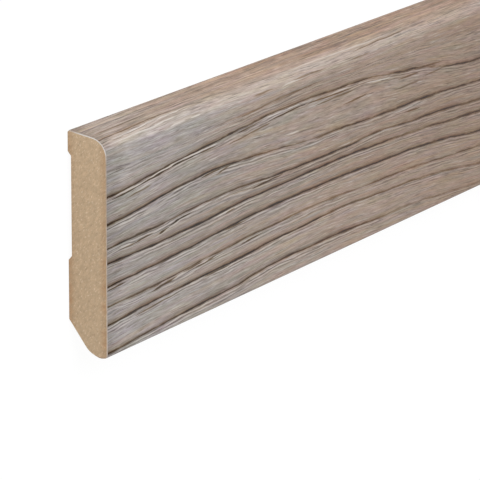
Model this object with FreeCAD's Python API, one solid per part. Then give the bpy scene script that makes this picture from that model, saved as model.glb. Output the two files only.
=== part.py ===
"""Skirting board length: a fibreboard moulding wrapped in a wood-print foil, stored lying on its wall side.

The row frame is +X along the length, +Y from the bottom edge to the top edge, and +Z out from the wall
plane to the face. The origin is on the wall plane, at mid length and mid height. Sizes are millimetres.
"""
import FreeCAD
import Part

import math
import os

from FreeCAD import Vector

# The length, height and thickness that the board is sold in, foil included
LENGTH = 2400.0
HEIGHT = 60.0
THICKNESS = 12.0

# The foil is one strip: over the top, down the face and under the nose
FOIL_THICKNESS = 0.3
FOIL_UNDER_DEG = 17.0       # how far it turns under the nose, past its lowest line

# The top edge falls towards the room, then rounds over into the face
TOP_FALL_DEG = 8.0
TOP_ROUND_RADIUS = 5.0
BACK_TRIM = 0.25            # how far the 45 degree trim of the top back corner goes into the board

# The bottom edge is a round nose that meets the face in a small radius
NOSE_RADIUS = 6.0
NOSE_SETBACK = 2.3          # the nose's lowest line, behind the face
FACE_EDGE_RADIUS = 1.0

# A bevel runs from the nose back to the wall, so that the board clears an uneven floor
BEVEL_FROM_WALL_DEG = 38.0

# A shallow relief in the back leaves two lands that bear on the wall
RELIEF_DEPTH = 1.0
RELIEF_BOTTOM = 25.2        # its lower edge, above the bottom of the nose
UPPER_LAND = 5.1            # the land's height, below the trimmed corner
SHOULDER_FROM_WALL_DEG = 40.0


def at(height, depth):
    """A point of the near end's section: height above the bottom, and depth out from the wall plane."""
    return Vector(-LENGTH / 2, height - HEIGHT / 2, depth)


def polar(centre, radius, degrees):
    """A point on a circle round (height, depth): 0 degrees is straight up, and 90 is out into the room."""
    turn = math.radians(degrees)
    return centre[0] + radius * math.cos(turn), centre[1] + radius * math.sin(turn)


def line(start, end):
    return Part.LineSegment(at(*start), at(*end)).toShape()


def arc(centre, radius, start_deg, end_deg):
    """An arc through its start, middle and end angles, as polar() counts them."""
    points = [polar(centre, radius, turn) for turn in (start_deg, (start_deg + end_deg) / 2, end_deg)]
    return Part.Arc(*[at(*point) for point in points]).toShape()


def chain(corners):
    """Straight edges from each corner to the next."""
    return [line(start, end) for start, end in zip(corners, corners[1:])]


def top_start(inset):
    """Where the surface at this inset meets the 45 degree trim, which cuts foil and board in one line."""
    fall = math.radians(TOP_FALL_DEG)
    spread = math.cos(fall) + math.sin(fall)
    highest = BACK_TRIM + FOIL_THICKNESS / spread
    depth = highest - inset / spread
    return HEIGHT - highest + depth, depth


def trim_bottom():
    """The height at which the trim meets the wall plane."""
    height, depth = top_start(0)
    return height - depth


def top_round_centre():
    """The round touches the face and the falling top, so its centre is one radius from both."""
    height, depth = top_start(0)
    round_depth = THICKNESS - TOP_ROUND_RADIUS
    fall = math.radians(TOP_FALL_DEG)
    top_there = height - (round_depth - depth) * math.tan(fall)
    return top_there - TOP_ROUND_RADIUS / math.cos(fall), round_depth


def nose_centre():
    return NOSE_RADIUS, THICKNESS - NOSE_SETBACK


def face_edge_centre():
    """The small radius touches the face, and the nose from inside."""
    depth = THICKNESS - FACE_EDGE_RADIUS
    nose_height, nose_depth = nose_centre()
    rise = math.sqrt((NOSE_RADIUS - FACE_EDGE_RADIUS) ** 2 - (depth - nose_depth) ** 2)
    return nose_height - rise, depth


def face_edge_deg():
    """The angle at which the small radius passes into the nose."""
    height, depth = face_edge_centre()
    nose_height, nose_depth = nose_centre()
    return math.degrees(math.atan2(depth - nose_depth, height - nose_height))


def wrapped_surface(inset, last_deg):
    """Edges over the top, down the face and round the nose to last_deg, this far inside the visible face."""
    round_centre, edge_centre = top_round_centre(), face_edge_centre()
    round_radius, edge_radius = TOP_ROUND_RADIUS - inset, FACE_EDGE_RADIUS - inset
    round_start = polar(round_centre, round_radius, TOP_FALL_DEG)
    face_top, face_bottom = polar(round_centre, round_radius, 90), polar(edge_centre, edge_radius, 90)
    return [
        line(top_start(inset), round_start),
        arc(round_centre, round_radius, TOP_FALL_DEG, 90),
        line(face_top, face_bottom),
        arc(edge_centre, edge_radius, 90, face_edge_deg()),
        arc(nose_centre(), NOSE_RADIUS - inset, face_edge_deg(), last_deg),
    ]


def bevel_deg():
    """The angle on the nose at which the bevel leaves it, tangent to it."""
    return 270 - BEVEL_FROM_WALL_DEG


def wall_side():
    """Straight edges from the end of the nose up the bevel, the lands and the relief to the top."""
    bevel_start = polar(nose_centre(), NOSE_RADIUS - FOIL_THICKNESS, bevel_deg())
    bevel_rise = bevel_start[1] / math.tan(math.radians(BEVEL_FROM_WALL_DEG))
    shoulder_rise = RELIEF_DEPTH / math.tan(math.radians(SHOULDER_FROM_WALL_DEG))
    relief_top = trim_bottom() - UPPER_LAND
    return chain([
        bevel_start,
        (bevel_start[0] + bevel_rise, 0),
        (RELIEF_BOTTOM, 0),
        (RELIEF_BOTTOM + shoulder_rise, RELIEF_DEPTH),
        (relief_top - shoulder_rise, RELIEF_DEPTH),
        (relief_top, 0),
        (trim_bottom(), 0),
        top_start(FOIL_THICKNESS),
    ])


def run_out(edges):
    """The section that these edges close, run along the whole length."""
    outline = Part.Wire(Part.__sortEdges__(edges))
    return Part.Face(outline).extrude(Vector(LENGTH, 0, 0))


def fibreboard_core():
    """The moulded board, sawn square at both ends."""
    return run_out(wrapped_surface(FOIL_THICKNESS, bevel_deg()) + wall_side())


def decor_foil():
    """The foil strip, as thick all along, ending at the trimmed corner and under the nose."""
    last_deg = 180 + FOIL_UNDER_DEG
    outer = wrapped_surface(0, last_deg)
    inner = wrapped_surface(FOIL_THICKNESS, last_deg)
    trimmed_end = line(top_start(0), top_start(FOIL_THICKNESS))
    under_end = line(
        polar(nose_centre(), NOSE_RADIUS, last_deg),
        polar(nose_centre(), NOSE_RADIUS - FOIL_THICKNESS, last_deg),
    )
    return run_out(outer + inner + [trimmed_end, under_end])


def main():
    os.makedirs("parts", exist_ok=True)
    pieces = {
        "fibreboard_core": fibreboard_core(),
        "decor_foil": decor_foil(),
    }
    for name, solid in pieces.items():
        solid.exportStep(f"parts/{name}.step")
        print(name, "valid", solid.isValid(), "volume mm3", round(solid.Volume, 1))


main()
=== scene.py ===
"""A length of foil-wrapped skirting board, lying on its wall side with its face up.

The row frame is +X along the length, +Y from the bottom edge to the top edge and +Z out from the wall plane,
in metres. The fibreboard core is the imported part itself. The foil is a thin closed strip that follows the
core's section: a straight run over the top, a round, the flat face, a small radius and the nose. The print on
the foil is a field of growth rings: the ring number at a point grows by one from each dark grain line to the
next, and every streak, pore and tone is drawn from that number and from the place along the board.
"""

import bpy
import numpy as np
from mathutils import Matrix, Vector


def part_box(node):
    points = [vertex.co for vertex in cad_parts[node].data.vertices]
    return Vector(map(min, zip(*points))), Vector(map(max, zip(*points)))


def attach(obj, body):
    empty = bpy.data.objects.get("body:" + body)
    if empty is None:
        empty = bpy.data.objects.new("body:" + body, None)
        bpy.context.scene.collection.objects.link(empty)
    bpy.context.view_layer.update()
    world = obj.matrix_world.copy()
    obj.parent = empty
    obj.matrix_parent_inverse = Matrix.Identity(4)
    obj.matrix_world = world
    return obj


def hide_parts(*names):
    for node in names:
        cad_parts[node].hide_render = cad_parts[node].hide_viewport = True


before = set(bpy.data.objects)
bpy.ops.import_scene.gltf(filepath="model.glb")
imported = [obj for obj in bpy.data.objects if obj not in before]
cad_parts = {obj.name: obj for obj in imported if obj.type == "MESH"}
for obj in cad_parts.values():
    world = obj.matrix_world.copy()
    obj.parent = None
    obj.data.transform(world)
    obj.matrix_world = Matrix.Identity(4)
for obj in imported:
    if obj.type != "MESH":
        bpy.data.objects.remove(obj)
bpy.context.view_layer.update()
body = "root"

# Fibreboard core
# Pressed wood fibre, moulded to the skirting section and sawn square at both ends. Its two faces are pressed
# denser than its middle, so the sawn end is finer and browner near them, with loose pale and dark flecks
# between.
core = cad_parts["fibreboard_core"]
core_low, core_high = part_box("fibreboard_core")

FIBRE_MIDDLE = (0.560, 0.410, 0.265, 1)
FIBRE_DENSE = (0.500, 0.352, 0.220, 1)
FIBRE_PALE = (0.760, 0.610, 0.440, 1)
FIBRE_DARK = (0.300, 0.190, 0.105, 1)
STAIN = (0.960, 0.845, 0.760, 1)
WHITE = (1, 1, 1, 1)


def add_node(tree, kind, inputs=None, **settings):
    """Adds a node: settings are its own properties, and inputs are values or the sockets that feed it."""
    node = tree.nodes.new("ShaderNode" + kind)
    for name, value in settings.items():
        setattr(node, name, value)
    for key, value in (inputs or {}).items():
        if isinstance(value, bpy.types.NodeSocket):
            tree.links.new(value, node.inputs[key])
        else:
            node.inputs[key].default_value = value
    return node


def sums(tree, operation, *values):
    """One step of arithmetic on numbers or sockets."""
    return add_node(tree, "Math", dict(enumerate(values)), operation=operation).outputs[0]


def ramp(tree, value, low, high, to_low=0.0, to_high=1.0, smooth=True):
    """value runs from low to high, and the result from to_low to to_high, held at both ends."""
    inputs = {"Value": value, "From Min": low, "From Max": high, "To Min": to_low, "To Max": to_high}
    kind = "SMOOTHSTEP" if smooth else "LINEAR"
    return add_node(tree, "MapRange", inputs, interpolation_type=kind).outputs["Result"]


def blend(tree, amount, under, over, how="MIX"):
    """Colours under and over, mixed by amount."""
    node = add_node(tree, "Mix", data_type="RGBA", blend_type=how)
    for socket, value in ((0, amount), (6, under), (7, over)):
        if isinstance(value, bpy.types.NodeSocket):
            tree.links.new(value, node.inputs[socket])
        else:
            node.inputs[socket].default_value = value
    return node.outputs[2]


def stretched(tree, place, lengths):
    """The place, counted in steps of these lengths along each axis, for a pattern drawn out along the grain."""
    per_step = tuple(1 / length for length in lengths)
    return add_node(tree, "Mapping", {"Vector": place, "Scale": per_step}).outputs[0]


def cloud(tree, place, lengths, detail=2.0, roughness=0.5):
    """Soft noise from 0 to 1 whose patches are about these lengths."""
    inputs = {"Vector": stretched(tree, place, lengths), "Scale": 1.0, "Detail": detail, "Roughness": roughness}
    return add_node(tree, "TexNoise", inputs).outputs["Fac"]


def new_material(name):
    """An empty material with its output and one surface shader."""
    material = bpy.data.materials.new(name)
    material.use_nodes = True
    tree = material.node_tree
    tree.nodes.clear()
    shader = add_node(tree, "BsdfPrincipled")
    output = add_node(tree, "OutputMaterial")
    tree.links.new(shader.outputs[0], output.inputs["Surface"])
    return material, tree, shader


fibre, tree, shader = new_material("fibreboard")
place = add_node(tree, "TexCoord").outputs["Object"]
core_axes = add_node(tree, "SeparateXYZ", {0: place}).outputs
depth = core_axes["Z"]
# 1 on the two sawn ends, 0 on the moulded sides
sawn = ramp(tree, sums(tree, "ABSOLUTE", core_axes["X"]), core_high.x - 0.0006, core_high.x - 0.0001)
# How dense the board is: 1 at either face, 0 in the middle, with an uneven border
drift = cloud(tree, place, (0.02, 0.006, 0.02))
edge = sums(tree, "ABSOLUTE", sums(tree, "SUBTRACT", depth, core_high.z / 2))
edge = sums(tree, "MULTIPLY_ADD", drift, 0.0016, edge)
dense = ramp(tree, edge, 0.0042, 0.0066)
# The fibres lie in small slanting bundles, which a saw leaves as pale flecks and dark pits
slanted = add_node(tree, "Mapping", {"Vector": place, "Rotation": (np.radians(-35), 0, 0)}).outputs[0]
mottle = cloud(tree, slanted, (0.0014, 0.0018, 0.0009), 3.0, 0.65)
fluff = cloud(tree, slanted, (0.0008, 0.0009, 0.00036), 2.0, 0.6)
pits = cloud(tree, slanted, (0.0007, 0.0007, 0.0004), 2.0, 0.55)
pale = sums(tree, "MULTIPLY", ramp(tree, fluff, 0.55, 0.72), ramp(tree, dense, 0, 1, 0.85, 0.40))
dark = sums(tree, "MULTIPLY", ramp(tree, pits, 0.55, 0.70), 0.30)
colour = blend(tree, dense, FIBRE_MIDDLE, FIBRE_DENSE)
colour = blend(tree, sums(tree, "MULTIPLY", pale, ramp(tree, sawn, 0, 1, 0.4, 1.0)), colour, FIBRE_PALE)
colour = blend(tree, sums(tree, "MULTIPLY", dark, ramp(tree, sawn, 0, 1, 0.5, 1.0)), colour, FIBRE_DARK)
# Glue and cutter heat brown the outer two millimetres in patches, more so towards the bottom edge
from_face = sums(tree, "SUBTRACT", core_high.z, depth)
from_side = sums(tree, "MINIMUM", from_face, sums(tree, "ADD", depth, 0.0003))
patchy = ramp(tree, cloud(tree, place, (0.03, 0.0060, 0.02), 3.0, 0.6), 0.38, 0.62, 0.15, 1.0)
stained = sums(tree, "MULTIPLY", ramp(tree, from_side, 0.0004, 0.0026, 1.0, 0.0), patchy)
stained = sums(tree, "MULTIPLY", stained, ramp(tree, core_axes["Y"], -0.014, 0.012, 1.0, 0.45))
colour = blend(tree, stained, colour, blend(tree, 1.0, colour, STAIN, "MULTIPLY"))
# Cutters leave faint streaks along the moulded sides
streaks = cloud(tree, place, (0.30, 0.0008, 0.0008), 3.0, 0.6)
streaks = sums(tree, "MULTIPLY", sums(tree, "SUBTRACT", streaks, 0.5), ramp(tree, sawn, 0, 1, 0.30, 0.0))
tone = sums(tree, "ADD", ramp(tree, mottle, 0.25, 0.75, 0.85, 1.15, smooth=False), streaks)
tone = sums(tree, "MULTIPLY", tone, ramp(tree, core_axes["Y"], -0.03, 0.03, 0.955, 1.035, smooth=False))
grey = add_node(tree, "CombineColor", {0: tone, 1: tone, 2: tone}).outputs[0]
colour = blend(tree, 1.0, colour, grey, "MULTIPLY")
tree.links.new(colour, shader.inputs["Base Color"])
shader.inputs["Roughness"].default_value = 0.85
shader.inputs["Specular IOR Level"].default_value = 0.25
rise = sums(tree, "ADD", fluff, sums(tree, "MULTIPLY", mottle, 0.6))
rise = sums(tree, "MULTIPLY_ADD", streaks, 2.0, sums(tree, "MULTIPLY", rise, ramp(tree, sawn, 0, 1, 0.3, 1.0)))
bump = add_node(tree, "Bump", {"Height": rise, "Strength": 0.5, "Distance": 0.00008})
tree.links.new(bump.outputs[0], shader.inputs["Normal"])

core.material_slots[0].material = fibre

# Decor foil
# A resin-filled paper foil, 0.3 mm thick, printed and embossed as weathered oak. One strip is glued over the
# top, round the face and under the nose, and its pale paper shows where it is cut.
foil_low, foil_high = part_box("decor_foil")
LENGTH = foil_high.x - foil_low.x
HEIGHT = foil_high.y - foil_low.y
THICKNESS = foil_high.z

FOIL = 0.0003
TOP_FALL = np.radians(8)
TOP_ROUND = 0.005
BACK_TRIM = 0.00025
FACE_EDGE = 0.001
NOSE = 0.006
NOSE_SETBACK = 0.0023
UNDER = np.radians(17)
RUBBED_STEPS, RUBBED_SHARE = 5, 0.8

TOP_STEPS, ROUND_STEPS, FACE_STEPS, EDGE_STEPS, NOSE_STEPS = 8, 14, 53, 8, 8
LENGTH_STEP = 0.008
PRINT_ROWS, PRINT_SHARE = 2, 0.93


def wrap_section(inset):
    """The strip's line, as (y, z), this far inside its printed side.

    It is a straight run from the trimmed corner, an arc round each centre in turn, and straight runs between
    them. A point on an arc is the centre plus the radius less the inset, times (cos, sin) of the angle from
    straight up.
    """
    spread = np.cos(TOP_FALL) + np.sin(TOP_FALL)
    highest = BACK_TRIM + FOIL / spread
    depth = highest - inset / spread
    corner = np.array([[HEIGHT - highest + depth, depth]])
    round_depth = THICKNESS - TOP_ROUND
    round_height = HEIGHT - (round_depth - highest) * np.tan(TOP_FALL) - TOP_ROUND / np.cos(TOP_FALL)
    edge_depth, nose_depth = THICKNESS - FACE_EDGE, THICKNESS - NOSE_SETBACK
    edge_height = NOSE - np.sqrt((NOSE - FACE_EDGE) ** 2 - (edge_depth - nose_depth) ** 2)
    meet = np.arctan2(edge_depth - nose_depth, edge_height - NOSE)

    def arc(height, depth, radius, start, end, steps):
        turn = np.linspace(start, end, steps + 1)
        return np.stack([height + (radius - inset) * np.cos(turn), depth + (radius - inset) * np.sin(turn)], 1)

    def run(start, end, steps):
        share = np.linspace(0, 1, steps + 1)[1:-1, None]
        return start + (end - start) * share

    top_round = arc(round_height, round_depth, TOP_ROUND, TOP_FALL, np.pi / 2, ROUND_STEPS)
    face_edge = arc(edge_height, edge_depth, FACE_EDGE, np.pi / 2, meet, EDGE_STEPS)
    nose = arc(NOSE, nose_depth, NOSE, meet, np.pi + UNDER, NOSE_STEPS)
    top = run(corner[0], top_round[0], TOP_STEPS)
    face = run(top_round[-1], face_edge[0], FACE_STEPS)
    line = np.concatenate([corner, top, top_round, face, face_edge, nose[1:]])
    return line - [HEIGHT / 2, 0]


def grid_faces(rows, columns, start=0):
    """Quads between neighbouring rows and columns of a grid whose points are numbered row by row."""
    first = start + np.arange(rows - 1)[:, None] * columns + np.arange(columns - 1)
    return np.stack([first, first + 1, first + columns + 1, first + columns], -1).reshape(-1, 4)


outer, inner = wrap_section(0), wrap_section(FOIL)
# The strip's under edge is rubbed down, so that it thins out over the last steps of the nose
rubbed = np.clip((np.arange(len(outer)) - len(outer) + 1 + RUBBED_STEPS) / RUBBED_STEPS, 0, 1)[:, None]
outer = outer + (inner - outer) * RUBBED_SHARE * rubbed * rubbed * (3 - 2 * rubbed)
across = np.concatenate([[0], np.cumsum(np.hypot(*np.diff(outer, axis=0).T))])
rows = round(LENGTH / LENGTH_STEP) + 1
along = np.linspace(0, LENGTH, rows)
columns = len(across)
S, U = np.meshgrid(along, across, indexing="ij")


def swept(line):
    """The line carried along the length: x from the grid's rows, y and z from its columns."""
    return np.stack([foil_low.x + S, np.broadcast_to(line[:, 0], S.shape),
                     np.broadcast_to(line[:, 1], S.shape)], -1).reshape(-1, 3)


points = np.concatenate([swept(outer), swept(inner)])
count = rows * columns
printed = grid_faces(rows, columns)
backing = grid_faces(rows, columns, count)[:, ::-1]


def rim(loop):
    """Quads that join a line of printed points to the backing points behind them."""
    return np.stack([loop[:-1], loop[:-1] + count, loop[1:] + count, loop[1:]], -1)


numbers = np.arange(count).reshape(rows, columns)
rims = np.concatenate([rim(numbers[0]), rim(numbers[-1][::-1]), rim(numbers[:, 0][::-1]), rim(numbers[:, -1])])
faces = np.concatenate([printed, backing, rims])
mesh = bpy.data.meshes.new("wood_print_foil")
mesh.from_pydata(points.tolist(), [], faces.tolist())
slots = np.concatenate([np.zeros(len(printed), int), np.ones(len(backing) + len(rims), int)])
mesh.polygons.foreach_set("material_index", slots)
mesh.polygons.foreach_set("use_smooth", slots == 0)
foil = bpy.data.objects.new("wood_print_foil", mesh)
bpy.context.collection.objects.link(foil)

# A picture of the sheet, for a bake: the print in two long rows, then thin strips for the backing and the rims
picture_rows = np.repeat(np.minimum(np.arange(rows - 1) * PRINT_ROWS // (rows - 1), PRINT_ROWS - 1), columns - 1)
corner_along = S.ravel()[faces % count] / LENGTH
corner_across = U.ravel()[faces % count] / across[-1]
picture = np.zeros(faces.shape + (2,))
done = len(printed)
picture[:done, :, 0] = corner_along[:done] * PRINT_ROWS - picture_rows[:, None]
picture[:done, :, 1] = (picture_rows[:, None] + corner_across[:done] * 0.985) * PRINT_SHARE / PRINT_ROWS
picture[done:2 * done, :, 0] = corner_along[done:2 * done]
picture[done:2 * done, :, 1] = PRINT_SHARE + 0.004 + corner_across[done:2 * done] * 0.020
deep = faces[2 * done:] >= count
strip = np.repeat([0, 1, 2, 3], [columns - 1, columns - 1, rows - 1, rows - 1])
picture[2 * done:, :, 0] = np.where(strip[:, None] < 2, corner_across[2 * done:], corner_along[2 * done:])
picture[2 * done:, :, 1] = PRINT_SHARE + 0.030 + strip[:, None] * 0.009 + deep * 0.007
layer = mesh.uv_layers.new(name="OFBake")
layer.data.foreach_set("uv", picture.reshape(-1))

# Growth rings of the print
# Each course is one dark grain line, as (along, across, darkness) from the near end's top back corner, in
# millimetres. They climb to a crest about 100 mm in and then fall, as where the saw ran out of a ring.
COURSES = {
    0: [(0, 3.0, 0), (60, 1.8, 0.1), (95, 1.2, 0.25), (120, 1.0, 0), (200, 0.8, 0)],
    1: [(0, 9.1, 0.3), (20, 8.4, 0.6), (33, 7.9, 0.45), (45, 7.9, 0), (110, 10.2, 0), (140, 10.2, 0.3),
        (200, 9.7, 0)],
    2: [(0, 17.8, 0.1), (40, 17.6, 0), (66, 16.9, 0.35), (82, 16.2, 0.4), (100, 15.8, 0.45), (112, 15.9, 0.1),
        (125, 16.0, 0.0), (165, 16.6, 0.0), (200, 17.8, 0.2)],
    3: [(0, 24.8, 0.75), (10, 24.4, 0.7), (22, 23.2, 0.8), (33, 22.2, 0.6), (47, 21.3, 0.95), (58, 20.8, 0.8),
        (75, 19.4, 0.6), (100, 19.3, 0.6), (118, 19.6, 0.75), (136, 19.9, 0.55), (144, 20.9, 0.10),
        (151, 21.9, 0.95), (164, 22.8, 0.75), (171, 24.0, 0.05), (178, 25.5, 0.55), (188, 26.8, 0.75),
        (200, 27.7, 0.85)],
    4: [(0, 32.3, 0.8), (8, 32.0, 0.9), (28, 30.0, 1.0), (40, 29.0, 0.75), (50, 28.6, 0.95), (64, 29.2, 0.7),
        (85, 30.4, 0.45), (102, 31.6, 0.35), (116, 31.9, 0.5), (124, 32.0, 0.9), (136, 32.3, 0.5),
        (150, 32.8, 0.95), (175, 33.1, 0.75), (200, 34.4, 0.65)],
    5: [(0, 38.8, 0.6), (12, 38.0, 0.9), (24, 38.4, 0.5), (38, 37.2, 0.6), (57, 36.6, 0.5), (78, 37.4, 0.75),
        (100, 38.1, 0.95), (126, 37.8, 0.75), (142, 37.0, 0.35), (155, 38.3, 0.7), (180, 38.9, 0.75),
        (200, 40.5, 0.55)],
    6: [(0, 42.7, 0.85), (20, 42.6, 1.0), (46, 42.1, 0.95), (62, 41.0, 0.9), (92, 40.8, 1.0),
        (122, 40.4, 0.95), (145, 41.1, 0.75), (160, 41.5, 0.2), (174, 42.6, 0.7), (200, 44.1, 0.65)],
    7: [(0, 49.0, 0.8), (12, 48.5, 1.0), (22, 48.2, 0.7), (38, 47.7, 1.0), (62, 46.4, 0.85), (80, 45.9, 1.0),
        (112, 45.8, 0.85), (140, 46.5, 0.9), (162, 46.9, 0.85), (185, 48.5, 0.8), (200, 50.4, 0.75)],
    8: [(0, 54.2, 0.55), (14, 54.1, 0.45), (30, 53.9, 0.75), (42, 53.0, 0.45), (62, 52.1, 0.62), (90, 51.4, 0.58),
        (104, 51.2, 0.25), (114, 51.1, 0.55), (128, 51.8, 0.30), (146, 52.1, 0.58), (160, 52.6, 0.45),
        (200, 55.2, 0.55)],
    9: [(0, 59.4, 0.7), (12, 58.4, 1.0), (32, 57.4, 0.75), (48, 57.2, 1.0), (80, 56.1, 0.95),
        (108, 55.4, 0.85), (122, 55.1, 0.5), (134, 55.6, 0.65), (145, 56.3, 0.5), (166, 56.8, 0.45),
        (185, 58.5, 0.4), (200, 60.6, 0.4)],
    10: [(0, 67.0, 0.9), (22, 65.8, 0.5), (38, 65.0, 0.9), (52, 64.5, 1.0), (66, 64.4, 0.6), (80, 62.7, 0.8),
         (106, 62.5, 0.65), (120, 62.7, 0.95), (134, 63.2, 0.6), (142, 63.9, 0.5), (156, 63.5, 0.3),
         (180, 65.2, 0.35), (200, 66.7, 0.35)],
    11: [(0, 74.0, 0), (50, 71.5, 0.2), (85, 70.2, 0.6), (120, 69.9, 0.3), (200, 72.5, 0)],
}
RING_PITCH = 6.4

mesh_along, mesh_across = S * 1000, U * 1000
stations = np.arange(-40, 320, 4.0)
rounding = np.hanning(7)[1:-1]
rounding /= rounding.sum()


def read_course(course):
    """A course's place and darkness at each station, its corners rounded by a moving mean of 12 mm."""
    marks = np.array(course, float)
    marks = np.concatenate([marks[:1] - [60, 0, 0], marks, marks[-1:] + [180, 7.5, 0]])
    raw = np.array([np.interp(stations, marks[:, 0], marks[:, k]) for k in (1, 2)])
    return np.array([np.convolve(np.pad(one, 2, "edge"), rounding, "valid") for one in raw])


read_off = np.array([read_course(course) for course in COURSES.values()])
near = np.array([np.interp(along * 1000, stations, place) for place in read_off[:, 0]])
near = np.concatenate([near[:1] - RING_PITCH, near, near[-1:] + RING_PITCH])
near_dark = np.array([np.interp(along * 1000, stations, dark) for dark in read_off[:, 1]])
near_dark = np.concatenate([near_dark[:1], near_dark, near_dark[-1:]])
# The ring number near this end: each gap between two courses adds one, evenly across the gap
share = np.clip((mesh_across[None] - near[:-1, :, None]) / (near[1:] - near[:-1])[:, :, None], 0, 1)
near_rings = share.sum(0) - 1
near_darkness = near_dark[0][:, None] + (np.diff(near_dark, axis=0)[:, :, None] * share).sum(0)
# Further on the board was sawn nearer the heart of the log. There the number falls off with the distance from
# the heart, which lies heart_deep under the face and heart_across over the board.
heart_across = 118 - 150 * (mesh_along / 2400) ** 1.3 + 14 * np.sin(mesh_along / 210 + 1.0)
heart_deep = 42 + 30 * np.sin(mesh_along / 340 + 0.6) + 12 * np.sin(mesh_along / 97)
far_rings = 17.5 - np.hypot(mesh_across - heart_across, heart_deep) / RING_PITCH
chance = np.random.default_rng(7)
every_ring = np.arange(-40, 41)
far_darkness = np.interp(far_rings, every_ring, chance.uniform(0.15, 1.0, len(every_ring)))
step = np.clip((mesh_along - 205) / 260, 0, 1)
step = step * step * (3 - 2 * step)
rings = near_rings + (far_rings - near_rings) * step
darkness = near_darkness + (far_darkness - near_darkness) * step
# The fibres lie along the rings near this end. Further on they run with the board, and the rings cross them.
straight = (mesh_across - COURSES[0][-1][1]) / RING_PITCH + 0.8 * np.sin(mesh_along / 230 + 0.5)
fibre_rings = near_rings + (0.92 * straight + 0.08 * far_rings - near_rings) * step
# How many millimetres one ring takes here
ring_gap = 1 / np.clip(np.abs(np.gradient(rings, across * 1000, axis=1)), 1 / 12, 1 / 2.4)

# Weathering: the print is grey for the first 60 mm of the face, and goes over to beige and brown in patches
browning_and_top_shade = np.interp(mesh_along, [0, 20, 75, 120, 190], [0.0, 0.02, 0.32, 0.55, 0.85])
# The top and the top round are browner still: browner print, and a painted shade that offsets the sheen they show at a
# low angle
browning_and_top_shade += np.clip((13.5 - mesh_across) / 3.0, 0, 1) * np.interp(mesh_along, [0, 120, 190], [0.45, 0.30, 0.10])
patches = np.sin(mesh_along / 173 + 0.9 + 0.03 * mesh_across) * np.sin(mesh_along / 71 + 2.2)
# A browner patch over the crest of the fourth line
browning_and_top_shade += 0.25 * np.exp(-((mesh_along - 95) / 38) ** 2 - ((mesh_across - 17.8) / 2.4) ** 2)
browning_and_top_shade = np.where(mesh_along < 206, browning_and_top_shade, browning_and_top_shade + (0.55 + 0.45 * patches - browning_and_top_shade) * step)

# Lime shows most where hands and wrapping rub the print, along the top round, and the pale band there is also a painted
# highlight of the round's sheen
painted_sheen_and_lime = np.interp(mesh_along, [0, 40, 60, 140, 165, 206, 2400], [0.30, 0.30, 0.50, 0.55, 0.18, 0.15, 0.50])
painted_sheen_and_lime = painted_sheen_and_lime * np.exp(-((mesh_across - 10.1) / 2.1) ** 2) * (1 + 0.5 * step * patches)
# The top is printed warmer than the face, and the face a little deeper across its upper middle
warmth = np.interp(mesh_along, [5, 60, 300, 600], [0.0, 1.0, 1.0, 0.6]) * np.clip((10.0 - mesh_across) / 3.5, 0, 1)
warmth = warmth * (1 + 0.4 * step * patches)
depth_of_print = np.interp(mesh_across, [18, 23, 46, 51, 58, 61], [1.0, 0.94, 0.93, 1.04, 1.04, 0.99])
depth_of_print = depth_of_print * np.interp(mesh_along, [20, 50, 80], [1.0, 0.955, 1.0])

fields = (("rings", rings), ("fibre_rings", fibre_rings), ("darkness", darkness), ("ring_gap", ring_gap),
          ("browning_and_top_shade", browning_and_top_shade), ("painted_sheen_and_lime", painted_sheen_and_lime), ("warmth", warmth), ("depth_of_print", depth_of_print))
for name, field in fields:
    layer = mesh.attributes.new(name, "FLOAT", "POINT")
    layer.data.foreach_set("value", np.tile(field.ravel(), 2).astype(np.float32))
sheet_place = np.stack([S, U, np.zeros_like(S)], -1).reshape(-1, 3)
layer = mesh.attributes.new("sheet_place", "FLOAT_VECTOR", "POINT")
layer.data.foreach_set("vector", np.tile(sheet_place, (2, 1)).ravel().astype(np.float32))

# The print itself, drawn from the ring number and the place on the sheet, in millimetres
PRINT_TONES = (
    (0.0, (0.343, 0.315, 0.300, 1)),
    (0.5, (0.338, 0.264, 0.215, 1)),
    (1.0, (0.258, 0.179, 0.129, 1)),
)
BROWN_SHADE = (0.300, 0.170, 0.070, 1)
WARM_TINT = (1.000, 0.895, 0.800, 1)
LINE_TINT = (0.070, 0.036, 0.011)
LINE_TINT_FURTHER = (0.088, 0.036, 0.008)
PORE_COLOUR = (0.055, 0.034, 0.024, 1)
PALE_LIME_AND_SHEEN = (0.625, 0.575, 0.530, 1)
RIDGE_START, RIDGE_TURN = 0.50, 2 * np.pi / 0.88
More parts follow.
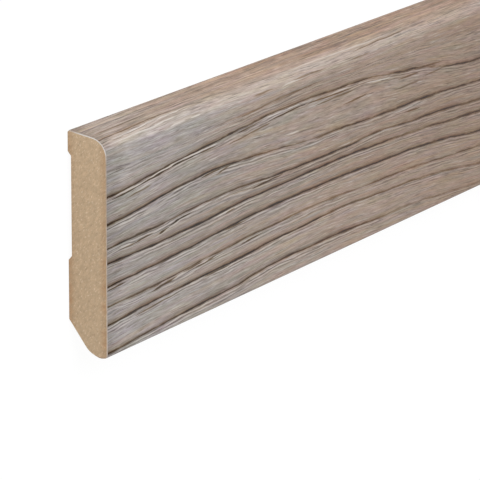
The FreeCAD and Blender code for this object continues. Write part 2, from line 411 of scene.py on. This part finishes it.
# Short strokes beside the grain lines, as (from along, from across, to along, to across, strength)
DARK_STROKES = (
    (2, 25.9, 16, 25.0, 0.75), (13, 25.2, 32, 23.3, 1.05), (29, 23.5, 45, 22.5, 1.00), (42, 22.7, 53, 22.3, 0.60),
    (8, 27.0, 22, 26.2, 0.35), (58, 23.6, 82, 22.0, 0.40), (78, 21.5, 100, 20.6, 1.05), (98, 20.8, 126, 21.3, 0.60),
    (62, 21.4, 76, 20.6, 0.40), (104, 22.3, 128, 21.9, 0.35), (120, 25.4, 134, 24.6, 0.45),
    (5, 40.2, 14, 39.8, 0.45), (11, 40.0, 22, 39.2, 0.75), (24, 40.4, 30, 39.5, 0.80), (29, 39.4, 41, 37.9, 1.00),
    (70, 38.7, 87, 38.0, 0.85), (57, 42.6, 62, 41.8, 0.40), (44, 29.6, 56, 29.3, 0.60), (52, 30.6, 60, 29.4, 0.50),
    (19, 55.3, 34, 54.1, 0.75), (42, 54.3, 53, 53.0, 0.50), (65, 53.1, 77, 52.5, 0.70), (36, 53.9, 46, 53.2, 0.45),
    (12, 60.0, 35, 58.7, 0.45), (46, 57.8, 60, 57.4, 0.50), (0, 49.9, 9, 49.5, 0.60), (56, 47.1, 68, 46.8, 0.55),
    (150, 24.3, 166, 24.5, 0.42), (160, 23.3, 178, 23.9, 0.38), (147, 26.8, 168, 27.2, 0.22),
    (166, 26.4, 183, 25.7, 0.25),
    (0, 6.6, 31, 5.4, 0.40), (124, 10.8, 162, 10.1, 0.40), (64, 17.2, 81, 16.2, 0.30), (155, 34.9, 166, 35.3, 0.50),
    (71, 12.8, 82, 12.7, 0.28), (92, 12.4, 112, 12.6, 0.26), (124, 12.9, 136, 13.0, 0.20), (104, 32.0, 118, 31.6, 0.45),
)
# Pale strokes of the print, as (from along, from across, to along, to across, strength). Those over the top round, 8.7
# to 12.9 mm across, are also painted glints of the round's highlight.
PALE_STROKES_AND_GLINTS = (
    (2, 10.2, 42, 8.7, 0.85), (0, 11.4, 36, 10.4, 0.60), (2, 25.2, 20, 24.1, 0.85), (18, 24.2, 37, 22.4, 0.90),
    (34, 22.5, 54, 21.7, 0.90), (10, 26.6, 32, 24.8, 0.40), (74, 20.2, 98, 20.1, 0.85), (78, 21.0, 94, 20.7, 0.50), (22, 41.0, 37, 38.9, 0.50),
    (5, 39.6, 12, 39.4, 0.50), (51, 42.3, 62, 41.7, 0.80), (84, 9.4, 150, 9.6, 0.4), (50, 30.0, 58, 29.9, 0.70),
    (18, 12.3, 26, 12.3, 0.50), (30, 12.5, 38, 12.3, 0.60), (40, 12.3, 46, 12.3, 0.60), (86, 12.9, 98, 12.9, 0.50),
    (132, 21.2, 150, 22.9, 0.75), (104, 21.0, 124, 20.5, 0.50), (0, 34.3, 30, 32.0, 0.35), (146, 33.9, 170, 34.0, 0.45),
    (36, 57.9, 50, 57.7, 0.45), (66, 52.8, 76, 52.2, 0.40), (2, 61.4, 16, 60.2, 0.40),
)

print_material, tree, shader = new_material("weathered_oak_print")


def read(name, output="Fac"):
    return add_node(tree, "Attribute", attribute_name=name, attribute_type="GEOMETRY").outputs[output]


def stroke(marks):
    """A thin straight stroke of the print, full in its middle, and narrowing and fading to its two tips."""
    from_along, from_across, to_along, to_across, strength = marks
    done = sums(tree, "MULTIPLY_ADD", swayed_along, 1 / (to_along - from_along),
                -from_along / (to_along - from_along))
    middle = sums(tree, "MULTIPLY_ADD", done, to_across - from_across, from_across)
    away = sums(tree, "ABSOLUTE", sums(tree, "SUBTRACT", swayed, middle))
    from_middle = sums(tree, "ABSOLUTE", sums(tree, "SUBTRACT", done, 0.5))
    spindle = ramp(tree, from_middle, 0.15, 0.5, 1.0, 0.25)
    here = ramp(tree, sums(tree, "DIVIDE", away, spindle), 0.05, 0.34, strength, 0.0)
    return sums(tree, "MULTIPLY", here, ramp(tree, from_middle, 0.38, 0.5, 1.0, 0.0))


def deepened(colour, amount, tint):
    """The colour times the tint to the power of the amount."""
    shares = [sums(tree, "POWER", part, amount) for part in tint]
    deep = add_node(tree, "CombineColor", dict(enumerate(shares))).outputs[0]
    return blend(tree, 1.0, colour, deep, "MULTIPLY")


def all_strokes(table):
    """Every stroke of the table, each joined to the others as soon as it is made."""
    whole = 0.0
    for marks in table:
        whole = sums(tree, "MAXIMUM", whole, stroke(marks))
    return whole


def together(masks):
    """Wherever any of the masks is, as strong as the strongest."""
    whole = masks[0]
    for mask in masks[1:]:
        whole = sums(tree, "MAXIMUM", whole, mask)
    return whole


metres = read("sheet_place", "Vector")
sheet = add_node(tree, "VectorMath", {0: metres, "Scale": 1000.0}, operation="SCALE").outputs[0]
sheet_axes = add_node(tree, "SeparateXYZ", {0: sheet}).outputs
gap = read("ring_gap")
slow_sway = sums(tree, "SUBTRACT", cloud(tree, sheet, (30, 4.5, 1), 2.0), 0.5)
quick_sway = sums(tree, "SUBTRACT", cloud(tree, sheet, (8, 1.3, 1), 2.0), 0.5)
sway = sums(tree, "ADD", sums(tree, "MULTIPLY", slow_sway, 0.9), sums(tree, "MULTIPLY", quick_sway, 0.55))
rings_swayed = sums(tree, "DIVIDE", sway, gap)
# Places along the grain: the second number stays the same along a fibre
fibre = sums(tree, "MULTIPLY", sums(tree, "ADD", read("fibre_rings"), rings_swayed), 6.0)
grain = add_node(tree, "CombineXYZ", {"X": sheet_axes["X"], "Y": fibre}).outputs[0]
turn = sums(tree, "FRACT", sums(tree, "ADD", read("rings"), rings_swayed))
below = sums(tree, "MULTIPLY", turn, gap)
above = sums(tree, "MULTIPLY", sums(tree, "SUBTRACT", 1.0, turn), gap)

breaks = ramp(tree, cloud(tree, grain, (9, 2.0, 1), 3.0, 0.65), 0.34, 0.60, ramp(tree, sheet_axes["X"], 90, 180, 0.82, 0.62), 1.22)
strength = sums(tree, "MULTIPLY", read("darkness"), breaks)
width = ramp(tree, cloud(tree, grain, (8, 2.5, 1), 3.0), 0.35, 0.65, 0.70, 1.30, smooth=False)
strands = sums(tree, "SUBTRACT", cloud(tree, grain, (5, 0.26, 1), 3.0, 0.75), 0.5)
width = sums(tree, "MULTIPLY", width, ramp(tree, sheet_axes["X"], 100, 190, 1.0, 1.35))
nearest = sums(tree, "DIVIDE", sums(tree, "MINIMUM", below, above), width)
nearest = sums(tree, "MULTIPLY_ADD", strands, 0.6, nearest)
line = sums(tree, "MULTIPLY", ramp(tree, nearest, 0.0, 0.35, 1.0, 0.0), sums(tree, "POWER", strength, 1.9))
# Brown deepens over the last two millimetres before a line
close = sums(tree, "POWER", 0.20, above)
wide = sums(tree, "POWER", 0.50, above)
shade = sums(tree, "MULTIPLY_ADD", close, 0.55, sums(tree, "MULTIPLY", wide, 0.18))
shade = sums(tree, "MULTIPLY_ADD", sums(tree, "POWER", 0.008, below), 0.45, shade)
shade = sums(tree, "MULTIPLY", shade, ramp(tree, strength, 0.15, 1.1, 0.15, 1.85))
shade = sums(tree, "MULTIPLY", shade, ramp(tree, sheet_axes["X"], 100, 180, 1.0, 1.12))
# After a line the fibres lie in thin ridges along it, pale where lime caught and dark between them
ridge_sway = sums(tree, "SUBTRACT", cloud(tree, grain, (16, 4, 1), 3.0), 0.5)
ridges = sums(tree, "MULTIPLY_ADD", ridge_sway, 1.6, sums(tree, "SUBTRACT", below, RIDGE_START))
ridges = sums(tree, "SINE", sums(tree, "MULTIPLY", ridges, RIDGE_TURN))
ridged = sums(tree, "MULTIPLY", ramp(tree, below, 0.25, 0.50), ramp(tree, below, 1.0, 3.2, 1.0, 0.0))
ridged = sums(tree, "MULTIPLY", ridged, ramp(tree, cloud(tree, grain, (14, 1.6, 1), 3.0), 0.38, 0.56))
ridged = sums(tree, "MULTIPLY", ridged, ramp(tree, strength, 0.1, 0.6, 0.3, 1.0))
thread = sums(tree, "MULTIPLY", ramp(tree, ridges, 0.20, 1.0, 0.0, 0.70), ridged)
thread = sums(tree, "MULTIPLY", thread, ramp(tree, read("browning_and_top_shade"), 0.2, 0.8, 1.0, 0.35))
second = sums(tree, "MULTIPLY", ramp(tree, ridges, -1.0, -0.45, 0.75, 0.0), ridged)

# Fibres in four sizes, all drawn out along the grain
broad = sums(tree, "SUBTRACT", cloud(tree, grain, (60, 2.4, 1), 2.0), 0.5)
middling = sums(tree, "SUBTRACT", cloud(tree, grain, (30, 0.75, 1), 3.0, 0.6), 0.5)
fine = sums(tree, "SUBTRACT", cloud(tree, grain, (12, 0.31, 1), 3.0, 0.65), 0.5)
hair = sums(tree, "SUBTRACT", cloud(tree, grain, (4.5, 0.24, 1), 3.0, 0.7), 0.5)
streaky = sums(tree, "MULTIPLY_ADD", middling, 0.80, sums(tree, "MULTIPLY", broad, 0.50))
streaky = sums(tree, "MULTIPLY_ADD", fine, 1.50, streaky)
streaky = sums(tree, "MULTIPLY_ADD", hair, 1.40, streaky)
# They show most over the round, and longer ones lie along the top
streaky = sums(tree, "MULTIPLY", streaky, ramp(tree, sheet_axes["Y"], 9.0, 13.5, 1.5, 1.0))
long_streaks = sums(tree, "SUBTRACT", cloud(tree, grain, (50, 0.95, 1), 3.0, 0.6), 0.5)
streaky = sums(tree, "MULTIPLY_ADD", long_streaks, ramp(tree, sheet_axes["Y"], 7.5, 10.5, 2.3, 0.0), streaky)
tone = sums(tree, "MULTIPLY", sums(tree, "ADD", streaky, 1.0), read("depth_of_print"))

# Open pores are thin dark dashes, crowded under the lines, and limed ones are pale and scarcer
crowd = ramp(tree, below, 0.4, 4.0, 0.07, -0.01)
pore = sums(tree, "ADD", cloud(tree, grain, (10, 0.28, 1), 2.5, 0.6), crowd)
pore = ramp(tree, pore, 0.59, 0.72, 0.0, 0.65)
limed = cloud(tree, grain, (14, 0.34, 1), 2.5, 0.6)
limed = ramp(tree, limed, 0.57, 0.72, 0.0, ramp(tree, sheet_axes["X"], 90, 180, 0.60, 0.40))

swayed = sums(tree, "ADD", sway, sheet_axes["Y"])
swayed_along = sums(tree, "MULTIPLY_ADD", quick_sway, 4.0, sheet_axes["X"])
dark_strokes = sums(tree, "MULTIPLY", all_strokes(DARK_STROKES), 0.9)
pale_strokes_and_glints = all_strokes(PALE_STROKES_AND_GLINTS)

brown = sums(tree, "MULTIPLY_ADD", broad, 0.9, read("browning_and_top_shade"))
brown = sums(tree, "MULTIPLY_ADD", middling, 0.8, brown)
tones = add_node(tree, "ValToRGB", {"Fac": brown})
stops = tones.color_ramp.elements
for place_on_ramp, tint in PRINT_TONES[1:-1]:
    stops.new(place_on_ramp)
for stop, (place_on_ramp, tint) in zip(stops, PRINT_TONES):
    stop.position = place_on_ramp
    stop.color = tint
colour = tones.outputs["Color"]
# A darker fibre is also browner
shares = [sums(tree, "POWER", tone, power) for power in (0.92, 1.0, 1.12)]
colour = blend(tree, 1.0, colour, add_node(tree, "CombineColor", dict(enumerate(shares))).outputs[0], "MULTIPLY")
# The tint wanders a little between olive and violet, and between red and blue
tinge = sums(tree, "SUBTRACT", cloud(tree, grain, (16, 1.4, 1), 2.0), 0.5)
warmer = sums(tree, "SUBTRACT", cloud(tree, grain, (24, 1.0, 1), 3.0), 0.5)
warmer = sums(tree, "MULTIPLY", warmer, ramp(tree, sheet_axes["X"], 20, 90, 0.60, 1.0))
green = sums(tree, "MULTIPLY_ADD", tinge, 0.15, 1.0)
red = sums(tree, "MULTIPLY_ADD", warmer, 0.26, sums(tree, "MULTIPLY_ADD", tinge, -0.10, 1.0))
blue = sums(tree, "MULTIPLY_ADD", warmer, -0.36, sums(tree, "MULTIPLY_ADD", tinge, -0.20, 1.0))
browner = sums(tree, "MULTIPLY", wide, ramp(tree, strength, 0.1, 0.8))
red = sums(tree, "MULTIPLY_ADD", browner, 0.05, red)
blue = sums(tree, "MULTIPLY_ADD", browner, -0.09, blue)
colour = blend(tree, 1.0, colour, add_node(tree, "CombineColor", {0: red, 1: green, 2: blue}).outputs[0], "MULTIPLY")
# Pale lime over the print, and over the top round the painted highlight of its sheen
painted_round_sheen_and_lime = sums(tree, "MULTIPLY", read("painted_sheen_and_lime"), sums(tree, "MULTIPLY_ADD", middling, 1.2, 0.42))
colour = blend(tree, together([thread, limed, painted_round_sheen_and_lime]), colour, PALE_LIME_AND_SHEEN)
colour = blend(tree, shade, colour, blend(tree, 1.0, colour, BROWN_SHADE, "MULTIPLY"))
# Pale strokes, with painted glints of the highlight over the top round
colour = blend(tree, pale_strokes_and_glints, colour, PALE_LIME_AND_SHEEN)
colour = blend(tree, read("warmth"), colour, blend(tree, 1.0, colour, WARM_TINT, "MULTIPLY"))
colour = blend(tree, together([pore, second]), colour, PORE_COLOUR)
dark_lines = together([line, dark_strokes])
darkest = ramp(tree, sheet_axes["X"], 100, 180, 1.35, 0.95)
further = ramp(tree, sheet_axes["X"], 30, 110)
line_tint = [ramp(tree, further, 0, 1, here, there) for here, there in zip(LINE_TINT, LINE_TINT_FURTHER)]
colour = deepened(colour, sums(tree, "MINIMUM", dark_lines, darkest), line_tint)
tree.links.new(colour, shader.inputs["Base Color"])

relief = sums(tree, "MULTIPLY", sums(tree, "MINIMUM", line, 1.0), -1.0)
relief = sums(tree, "MULTIPLY_ADD", pore, -0.7, relief)
relief = sums(tree, "MULTIPLY_ADD", fine, 0.9, relief)
bump = add_node(tree, "Bump", {"Height": relief, "Strength": 0.6, "Distance": 0.00005})
tree.links.new(bump.outputs[0], shader.inputs["Normal"])
gloss = sums(tree, "MULTIPLY_ADD", middling, 0.25, 0.50)
tree.links.new(gloss, shader.inputs["Roughness"])
shader.inputs["Specular IOR Level"].default_value = 0.28

# The cut edge of the foil is pale paper: clean round the top, stained brown by glue down the face's upper half
PAPER = (0.780, 0.735, 0.690, 1)
PAPER_STAINED = (0.430, 0.310, 0.215, 1)
CLEAN_PAPER = ((0.0, 0.50), (0.05, 0.72), (0.12, 1.0), (0.17, 0.92), (0.205, 0.38), (0.26, 0.22), (0.50, 0.24),
               (0.60, 0.36), (0.93, 0.42), (0.96, 0.0))
paper_edge, tree, shader = new_material("foil_cut_edge")
place = add_node(tree, "TexCoord").outputs["Object"]
torn = sums(tree, "SUBTRACT", cloud(tree, place, (0.003, 0.003, 0.003), 3.0, 0.6), 0.5)
round_the_edge = add_node(tree, "SeparateXYZ", {0: read("sheet_place", "Vector")}).outputs["Y"]
clean = add_node(tree, "ValToRGB", {"Fac": sums(tree, "DIVIDE", round_the_edge, across[-1])})
stops = clean.color_ramp.elements
for place_on_ramp, share in CLEAN_PAPER[1:-1]:
    stops.new(place_on_ramp)
for stop, (place_on_ramp, share) in zip(stops, CLEAN_PAPER):
    stop.position = place_on_ramp
    stop.color = (share, share, share, 1)
clean = sums(tree, "MULTIPLY_ADD", torn, 1.2, clean.outputs["Color"])
colour = blend(tree, ramp(tree, clean, 0, 1), PAPER_STAINED, PAPER)
tree.links.new(colour, shader.inputs["Base Color"])
shader.inputs["Roughness"].default_value = 0.8

mesh.materials.append(print_material)
mesh.materials.append(paper_edge)
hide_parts("decor_foil")
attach(foil, body)

# Floor
# A plain white floor under the two lands. To the camera it is white, and it keeps a trace of the shadow.
FLOOR_SIZE = 60.0
FLOOR_BELOW = 0.0002
corners = [(-FLOOR_SIZE, -FLOOR_SIZE), (FLOOR_SIZE, -FLOOR_SIZE), (FLOOR_SIZE, FLOOR_SIZE), (-FLOOR_SIZE, FLOOR_SIZE)]
floor_mesh = bpy.data.meshes.new("floor")
floor_mesh.from_pydata([(x, y, -FLOOR_BELOW) for x, y in corners], [], [(0, 1, 2, 3)])
floor = bpy.data.objects.new("floor", floor_mesh)
bpy.context.collection.objects.link(floor)
floor_material = bpy.data.materials.new("white_floor")
floor_material.use_nodes = True
tree = floor_material.node_tree
tree.nodes.clear()


def seen_directly(tree):
    """1 for camera, glossy and transmission rays, and 0 for the light that falls on the board."""
    rays = add_node(tree, "LightPath").outputs
    seen = sums(tree, "MAXIMUM", rays["Is Camera Ray"], rays["Is Glossy Ray"])
    return sums(tree, "MAXIMUM", seen, rays["Is Transmission Ray"])


plain = add_node(tree, "BsdfDiffuse", {"Color": (0.80, 0.80, 0.80, 1)})
faint = add_node(tree, "BsdfDiffuse", {"Color": (0.07, 0.07, 0.07, 1)})
glow = add_node(tree, "Emission", {"Color": (1, 1, 1, 1), "Strength": 0.95})
lit = add_node(tree, "AddShader", {0: faint.outputs[0], 1: glow.outputs[0]})
either = add_node(tree, "MixShader", {0: seen_directly(tree), 1: plain.outputs[0], 2: lit.outputs[0]})
output = add_node(tree, "OutputMaterial", {"Surface": either.outputs[0]})
floor_mesh.materials.append(floor_material)

# Light
# Soft studio light: a pale room all round, a broad lamp above the top edge and a second one behind the board,
# whose shine runs along the top round.
world = bpy.data.worlds.new("studio")
bpy.context.scene.world = world
world.use_nodes = True
tree = world.node_tree
tree.nodes.clear()
room = add_node(tree, "Background", {"Color": (1, 1, 1, 1), "Strength": 0.45})
white = add_node(tree, "Background", {"Color": (1, 1, 1, 1), "Strength": 1.0})
either = add_node(tree, "MixShader", {0: seen_directly(tree), 1: room.outputs[0], 2: white.outputs[0]})
output = add_node(tree, "OutputWorld", {"Surface": either.outputs[0]})

LAMPS = {
    "above_the_top_edge": ((-0.40, 0.62, 0.675), 0.60, 50),
    "behind_the_far_end": ((0.816, 0.41, 0.41), 0.34, 30),
}
for name, (towards, level, width_deg) in LAMPS.items():
    lamp = bpy.data.lights.new(name, "SUN")
    lamp.energy = level * np.pi
    lamp.angle = np.radians(width_deg)
    lamp_object = bpy.data.objects.new(name, lamp)
    lamp_object.rotation_euler = Vector(towards).to_track_quat("Z", "Y").to_euler()
    bpy.context.collection.objects.link(lamp_object)

# Camera
# It looks down on the near end and along the board, turned so that the board's height is upright in the
# picture, and stands where the long edges and the end's upright edges meet their vanishing points.
CAMERA_PLACE = (-1.926707, 0.255524, 0.504335)
CAMERA_RIGHT = Vector((0.529252, 0.004404, 0.848453))
CAMERA_UP = Vector((0.232872, 0.960831, -0.150250))
FOCAL_PIXELS, PICTURE_PIXELS = 3549.8, 480
SENSOR = 36.0

camera = bpy.data.cameras.new("camera")
camera.sensor_width = SENSOR
camera.lens = FOCAL_PIXELS / PICTURE_PIXELS * SENSOR
camera.clip_start, camera.clip_end = 0.05, 200
camera_object = bpy.data.objects.new("camera", camera)
bpy.context.collection.objects.link(camera_object)
back = CAMERA_RIGHT.cross(CAMERA_UP).normalized()
right = CAMERA_RIGHT.normalized()
up_axis = back.cross(right)
turned = Matrix((right, up_axis, back)).transposed().to_4x4()
camera_object.matrix_world = Matrix.Translation(CAMERA_PLACE) @ turned
bpy.context.scene.camera = camera_object

bpy.context.scene.view_settings.view_transform = "Standard"
